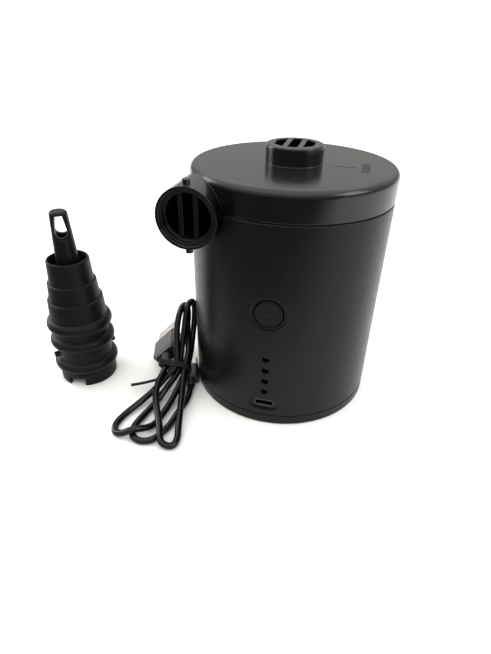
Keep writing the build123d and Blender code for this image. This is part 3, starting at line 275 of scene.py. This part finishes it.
# One look for each material slot. Colours are linear RGB.
FINISHES = {
    "case_black": dict(dark=(0.0030, 0.0036, 0.0032), pale=(0.0052, 0.0058, 0.0051), rough=(0.27, 0.35),
                       grain=1400, depth=0.012, edge=(0.03, 0.032, 0.03), cloud=26, level=0.18),
    # The cap's side colour is painted shade for its upright wall, not the plastic's own tone.
    "cap_black": dict(dark=(0.0055, 0.0062, 0.0052), pale=(0.0085, 0.0092, 0.0078), rough=(0.15, 0.21),
                      grain=1700, depth=0.010, edge=(0.07, 0.075, 0.075), cloud=24, level=0.42,
                      side=(0.0012, 0.0016, 0.0013), edge_width=0.5),
    "button_black": dict(dark=(0.0040, 0.0046, 0.0040), pale=(0.0070, 0.0076, 0.0070), rough=(0.34, 0.44),
                         grain=1500, depth=0.012, edge=(0.008, 0.0085, 0.008), cloud=60, level=0.17),
    "nozzle_black": dict(dark=(0.0030, 0.0036, 0.0030), pale=(0.0060, 0.0066, 0.0058),
                         rough=(0.38, 0.48), grain=1200, depth=0.016, edge=(0.05, 0.052, 0.05), cloud=40,
                         level=0.17, edge_width=0.3),
    "foot_rubber": dict(dark=grey(0.02), pale=grey(0.035), rough=(0.7, 0.85),
                        grain=900, depth=0.03, edge=grey(0.06)),
    "screw_steel": dict(dark=(0.42, 0.42, 0.41), pale=(0.6, 0.6, 0.59), rough=(0.25, 0.4), metal=1.0,
                        grain=2500, depth=0.008, edge=grey(0.8), cloud=200),
    "mark_grey": dict(dark=(0.004, 0.0045, 0.004), pale=(0.009, 0.0095, 0.009), rough=(0.5, 0.65),
                      grain=2000, depth=0.012, edge=grey(0.02), cloud=300, level=0.2),
    "inner_plastic": dict(dark=(0.006, 0.0065, 0.006), pale=(0.010, 0.0105, 0.010), rough=(0.55, 0.7),
                          grain=1000, depth=0.02, edge=grey(0.03), level=0.2),
    "impeller_plastic": dict(dark=grey(0.010), pale=grey(0.018),
                             rough=(0.42, 0.55), grain=1000, depth=0.015, edge=grey(0.05),
                             level=0.3),
    "motor_steel": dict(dark=(0.4, 0.4, 0.39), pale=(0.58, 0.58, 0.56), rough=(0.28, 0.45), metal=1.0,
                        grain=900, depth=0.01, edge=(0.75, 0.75, 0.74), stretch=(1, 1, 0.06)),
    "magnet_ferrite": dict(dark=(0.05, 0.05, 0.052), pale=grey(0.09), rough=(0.6, 0.8),
                           grain=1600, depth=0.03, edge=grey(0.16), level=0.3),
    "motor_plastic": dict(dark=(0.55, 0.53, 0.47), pale=(0.68, 0.66, 0.6), rough=(0.45, 0.6),
                          grain=1100, depth=0.015, edge=(0.78, 0.77, 0.72)),
    "contact_brass": dict(dark=(0.5, 0.3, 0.12), pale=(0.72, 0.5, 0.22), rough=(0.25, 0.42), metal=1.0,
                          grain=1800, depth=0.008, edge=(0.85, 0.68, 0.4), cloud=150),
    "armature_steel": dict(dark=(0.3, 0.14, 0.07), pale=(0.5, 0.26, 0.14), rough=(0.3, 0.45),
                           metal=0.8, grain=1600, depth=0.05, edge=(0.6, 0.4, 0.25),
                           stretch=(1, 1, 0.1), cloud=160),
    "cell_wrap": dict(dark=(0.02, 0.09, 0.20), pale=(0.03, 0.13, 0.27), rough=(0.25, 0.4),
                      grain=300, depth=0.04, edge=(0.1, 0.2, 0.35), cloud=50),
    "contact_nickel": dict(dark=(0.09, 0.088, 0.084), pale=(0.16, 0.157, 0.15), rough=(0.30, 0.42),
                           metal=1.0, grain=1500, depth=0.006, edge=(0.30, 0.295, 0.285), cloud=160),
    "board_green": dict(dark=(0.01, 0.07, 0.03), pale=(0.02, 0.11, 0.05), rough=(0.3, 0.45),
                        grain=700, depth=0.03, edge=(0.25, 0.24, 0.15), cloud=220),
    "chip_black": dict(dark=grey(0.012), pale=grey(0.022), rough=(0.4, 0.55),
                       grain=1900, depth=0.012, edge=grey(0.06), cloud=200),
    "led_white": dict(dark=(0.5, 0.49, 0.42), pale=(0.7, 0.69, 0.6), rough=(0.25, 0.4),
                      grain=1500, depth=0.006, edge=(0.8, 0.8, 0.76), cloud=300),
    "lens_clear": dict(dark=(0.0008, 0.001, 0.0009), pale=(0.002, 0.0022, 0.002), rough=(0.08, 0.12),
                       grain=900, depth=0.01, edge=grey(0.004), cloud=400, level=0.25),
    "cable_black": dict(dark=(0.0012, 0.0016, 0.0014), pale=(0.0034, 0.0040, 0.0037),
                        rough=(0.16, 0.26), grain=700, depth=0.02, edge=grey(0.02),
                        cloud=70, level=0.30, edge_width=0.1),
    "tie_black": dict(dark=(0.0025, 0.003, 0.0027), pale=(0.0055, 0.006, 0.0057), rough=(0.35, 0.5),
                      grain=900, depth=0.02, edge=grey(0.02), cloud=160, level=0.28,
                      edge_width=0.1),
    "plug_black": dict(dark=(0.0045, 0.0050, 0.0047), pale=(0.0080, 0.0086, 0.008), rough=(0.36, 0.46),
                       grain=1100, depth=0.018, edge=(0.06, 0.06, 0.058), cloud=70, level=0.5,
                       edge_width=0.45),
    "plug_nickel": dict(dark=(0.36, 0.315, 0.30), pale=(0.52, 0.46, 0.44), rough=(0.34, 0.46),
                        metal=1.0, grain=900, depth=0.006, edge=(0.7, 0.66, 0.64), cloud=120,
                        stretch=(1, 0.12, 1), edge_width=0.15),
    "plug_tongue": dict(dark=(0.6, 0.6, 0.58), pale=(0.74, 0.74, 0.72), rough=(0.4, 0.5),
                        grain=1200, depth=0.01, edge=grey(0.8), cloud=100),
}
MATERIALS = {name: finish_material(name, **look) for name, look in FINISHES.items()}


def dress(obj, slot_name):
    """Gives an object the one material of its slot."""
    obj.data.materials.clear()
    obj.data.materials.append(MATERIALS[slot_name])


def dress_frame():
    """Gives every CAD piece the material of the slot that the record names for it."""
    for row in frame["record"]["subparts"]:
        dress(frame["nodes"][row["node"]], row["material_slot"])


dress_frame()
dress(cable, "cable_black")


# ========================================================= twist tie and strain reliefs
# The tie is placed by its own plane, tilted about x. All sizes are in millimetres.
TIE_CENTRE = (-43.6, -26.5, 10.4)
TIE_TILT = math.radians(30)
# One turn of the tie, round the strands and the plug's neck, in its own plane.
TIE_TURN = ((4.2, 0.4), (3.6, 3.3), (0.6, 4.3), (-3.6, 3.6), (-7.4, 1.9), (-10.6, 0.6), (-11.5, -1.6),
            (-10.4, -3.9), (-7.6, -4.7), (-3.0, -4.4), (1.2, -4.3), (3.8, -3.2))
TIE_TURNS = 3
TIE_SPACING = 0.98
TIE_SWELL = (-0.015, 0.035)
TIE_WIRE = 0.42
TIE_TAIL_WIRE = 0.72
# Where the last turn leaves the strands, in the tie's plane, and then its free end, in the frame.
TIE_EXIT = ((3.9, 1.8, 1.7), (1.8, 4.4, 1.5), (-2.6, 4.5, 0.8))
TIE_END = ((-49.6, -25.6, 6.6), (-53.4, -29.0, 4.7), (-58.8, -33.2, 3.7), (-66.0, -37.7, 4.0))


def tie_point(u, v, along):
    """A point given across, down and along the tie, in millimetres, in metres."""
    across = Vector((1, 0, 0))
    normal = Vector((0, math.cos(TIE_TILT), math.sin(TIE_TILT)))
    down = normal.cross(across)
    return mm(*TIE_CENTRE) + (across * u + down * v + normal * along) * MM


def make_tie():
    """The twist tie: its turns with their small unevenness, then its free end, as one mesh."""
    points = []
    for turn in range(TIE_TURNS):
        for step, (u, v) in enumerate(TIE_TURN):
            swell = 1 + random.uniform(*TIE_SWELL)
            along = (turn + step / len(TIE_TURN) - TIE_TURNS / 2) * TIE_SPACING
            points.append(tie_point(u * swell, v * swell, along))
    points += [tie_point(*place) for place in TIE_EXIT]
    points += [mm(*place) for place in TIE_END]
    radii = [TIE_WIRE * MM] * (len(points) - len(TIE_END)) + [TIE_TAIL_WIRE * MM] * len(TIE_END)
    line = round_line("twist_tie_line", points, radii, bevel=1.0, sides=4, steps=8)
    bpy.context.view_layer.update()
    mesh = bpy.data.meshes.new_from_object(line)
    bpy.data.objects.remove(line)
    mesh.name = "twist_tie"
    for poly in mesh.polygons:
        poly.use_smooth = True
    tie = link(bpy.data.objects.new("twist_tie", mesh))
    dress(tie, "tie_black")
    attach(tie, "housing")
    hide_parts("cable_tie_ring", "cable_tie_tail")


RELIEF_AROUND = 40
RELIEF_ROWS_PER_RIB = 12
RELIEF_GROOVE = 0.34
RELIEF_GROOVE_POWER = 0.6


def make_relief(name, node, start, nose, length, radii, ribs):
    """A tapered sleeve with ribs round it, that lets the cable bend at its plug.

    It runs from start towards nose, the plug's far end, and its radius goes from the first of
    radii to the second. Sizes are in millimetres.
    """
    axis = (mm(*nose) - mm(*start)).normalized()
    side = axis.orthogonal().normalized()
    other = axis.cross(side)
    rows, around = RELIEF_ROWS_PER_RIB * ribs, RELIEF_AROUND
    verts, faces = [], []
    for row in range(rows + 1):
        along = row / rows
        radius = radii[0] + (radii[1] - radii[0]) * along
        wave = math.cos(along * ribs * 2 * math.pi)
        if 0 < row < rows:
            radius -= RELIEF_GROOVE * max(0.0, wave) ** RELIEF_GROOVE_POWER
        for step in range(around):
            angle = 2 * math.pi * step / around
            spoke = side * math.cos(angle) + other * math.sin(angle)
            verts.append(mm(*start) + axis * (along * length * MM) + spoke * (radius * MM))
    for row in range(rows):
        for step in range(around):
            a, b = row * around + step, row * around + (step + 1) % around
            faces.append((a, b, b + around, a + around))
    faces.append(tuple(reversed(range(around))))
    faces.append(tuple(range(rows * around, (rows + 1) * around)))
    sleeve = mesh_object(name, verts, faces)
    dress(sleeve, "plug_black")
    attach(sleeve, "housing")
    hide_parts(node)


make_tie()
make_relief("plug_sleeve", "usb_a_relief", start=ROUTE[-1], nose=(-64.3, 8.4, 6.7),
            length=8.0, radii=(2.1, 2.8), ribs=5)
make_relief("small_plug_sleeve", "small_plug_relief", start=ROUTE[0], nose=(-46.5, -9.1, 2.8),
            length=5.0, radii=(1.9, 2.4), ribs=4)


# ======================================================================== studio
# Tones are linear RGB. DIM_SIDE is the direction in which the floor's reflection dims.
WORLD_SEEN = 1.1
WORLD_TINT = (0.985, 1.0, 0.95)
FLOOR_HALF = 8
PAPER = ((0.93, 0.93, 0.93), (0.95, 0.95, 0.95))
DIM_ROOM = (0.09, 0.10, 0.10)
DIM_SIDE = (-0.5, -1, 0)


def make_world():
    """A soft light that is brightest overhead. The camera itself sees plain white."""
    world = bpy.data.worlds.new("world")
    world.use_nodes = True
    tree = world.node_tree
    lit = tree.nodes["Background"]
    coords = tree.nodes.new("ShaderNodeTexCoord")
    split = tree.nodes.new("ShaderNodeSeparateXYZ")
    tree.links.new(coords.outputs["Generated"], split.inputs[0])
    strength = spread(tree, split.outputs["Z"], low=0.42, high=1.5, start=0.1, end=0.9)
    tree.links.new(strength, lit.inputs["Strength"])
    seen = tree.nodes.new("ShaderNodeBackground")
    seen.inputs["Strength"].default_value = WORLD_SEEN
    lit.inputs["Color"].default_value = (*WORLD_TINT, 1)
    seen.inputs["Color"].default_value = (1, 1, 1, 1)
    path = tree.nodes.new("ShaderNodeLightPath")
    mix = tree.nodes.new("ShaderNodeMixShader")
    tree.links.new(path.outputs["Is Camera Ray"], mix.inputs[0])
    tree.links.new(lit.outputs[0], mix.inputs[1])
    tree.links.new(seen.outputs[0], mix.inputs[2])
    tree.links.new(mix.outputs[0], tree.nodes["World Output"].inputs["Surface"])
    bpy.context.scene.world = world


def make_floor():
    """White paper. In reflections only, it dims towards the front left, like a darker room."""
    half = FLOOR_HALF
    corners = [(-half, -half, 0), (half, -half, 0), (half, half, 0), (-half, half, 0)]
    floor = mesh_object("floor", corners, [(0, 1, 2, 3)])
    mat = bpy.data.materials.new("floor_white")
    mat.use_nodes = True
    tree = mat.node_tree
    shader = tree.nodes["Principled BSDF"]
    coords = tree.nodes.new("ShaderNodeTexCoord")
    paper = blend_colours(tree, add_noise(tree, coords, scale=3.0), *PAPER)
    slope = tree.nodes.new("ShaderNodeVectorMath")
    slope.operation = "DOT_PRODUCT"
    slope.inputs[1].default_value = DIM_SIDE
    tree.links.new(coords.outputs["Object"], slope.inputs[0])
    path = tree.nodes.new("ShaderNodeLightPath")
    shade = tree.nodes.new("ShaderNodeMath")
    shade.operation = "MULTIPLY"
    away = spread(tree, slope.outputs["Value"], low=0.0, high=1.0, start=0.05, end=0.19)
    tree.links.new(away, shade.inputs[0])
    tree.links.new(path.outputs["Is Glossy Ray"], shade.inputs[1])
    tree.links.new(blend_colours(tree, shade.outputs[0], paper, DIM_ROOM), shader.inputs["Base Color"])
    shader.inputs["Roughness"].default_value = 0.9
    shader.inputs["Specular IOR Level"].default_value = 0.1
    floor.data.materials.append(mat)


def aim(obj, place, target):
    """Sets a light at a place, in metres, facing the target."""
    obj.location = place
    obj.rotation_euler = (Vector(target) - Vector(place)).to_track_quat("-Z", "Y").to_euler()


def add_area(name, place, target, width, height, power):
    """A rectangular light. Its size is in metres and its power in watts."""
    light = bpy.data.lights.new(name, "AREA")
    light.shape = "RECTANGLE"
    light.size, light.size_y = width, height
    light.energy = power
    aim(link(bpy.data.objects.new(name, light)), place, target)


def make_lights():
    """A very soft overhead light, a strip of window at the left and a small fill at the right."""
    sky = bpy.data.lights.new("sky", "SUN")
    sky.energy = 1.1
    sky.angle = math.radians(100)
    aim(link(bpy.data.objects.new("sky", sky)), (-0.25, 0.2, 1.2), (0, 0, 0))
    add_area("window", (-0.62, 0.10, 0.22), (0, 0, 0.06), width=0.25, height=0.5, power=1.6)
    add_area("fill", (0.5, -0.12, 0.4), (0.22, -0.12, 0), width=0.3, height=0.3, power=1.2)


make_floor()
make_world()
make_lights()
bpy.context.scene.view_settings.view_transform = "Standard"
